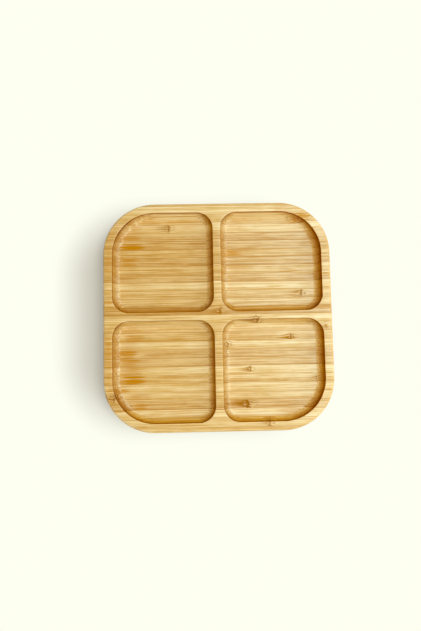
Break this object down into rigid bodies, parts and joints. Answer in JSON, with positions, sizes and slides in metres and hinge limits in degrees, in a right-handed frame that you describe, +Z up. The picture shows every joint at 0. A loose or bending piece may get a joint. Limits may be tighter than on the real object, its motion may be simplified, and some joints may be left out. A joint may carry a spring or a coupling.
{
  "type": "divided plate",
  "caption": "Square bamboo plate with round corners and coved compartments divided by a cross, milled from edge-glued strips; for serving snacks.",
  "frame": {"origin": "centre of the plate's underside", "axes": "+X along the bamboo strips to the right, +Y across the strips to the back, +Z up out of the compartments"},
  "size_m": [0.2, 0.2, 0.015],
  "materials": {
    "pale_bamboo": "sanded and oiled, satin",
    "honey_bamboo": "sanded and oiled, satin",
    "brown_bamboo": "sanded and oiled, satin"
  },
  "bodies": {
    "root": {"strip_01": "honey_bamboo", "strip_02": "honey_bamboo", "strip_03": "pale_bamboo", "strip_04": "brown_bamboo", "strip_05": "honey_bamboo", "strip_06": "pale_bamboo", "strip_07": "honey_bamboo", "strip_08": "pale_bamboo", "strip_09": "brown_bamboo", "strip_10": "brown_bamboo", "strip_11": "pale_bamboo", "strip_12": "honey_bamboo", "strip_13": "honey_bamboo", "strip_14": "pale_bamboo", "strip_15": "brown_bamboo", "strip_16": "honey_bamboo", "strip_17": "honey_bamboo", "strip_18": "pale_bamboo", "strip_19": "brown_bamboo", "strip_20": "honey_bamboo", "strip_21": "brown_bamboo", "strip_22": "honey_bamboo", "strip_23": "brown_bamboo", "strip_24": "brown_bamboo", "strip_25": "pale_bamboo", "strip_26": "honey_bamboo", "strip_27": "pale_bamboo", "strip_28": "honey_bamboo"}
  },
  "joints": []
}
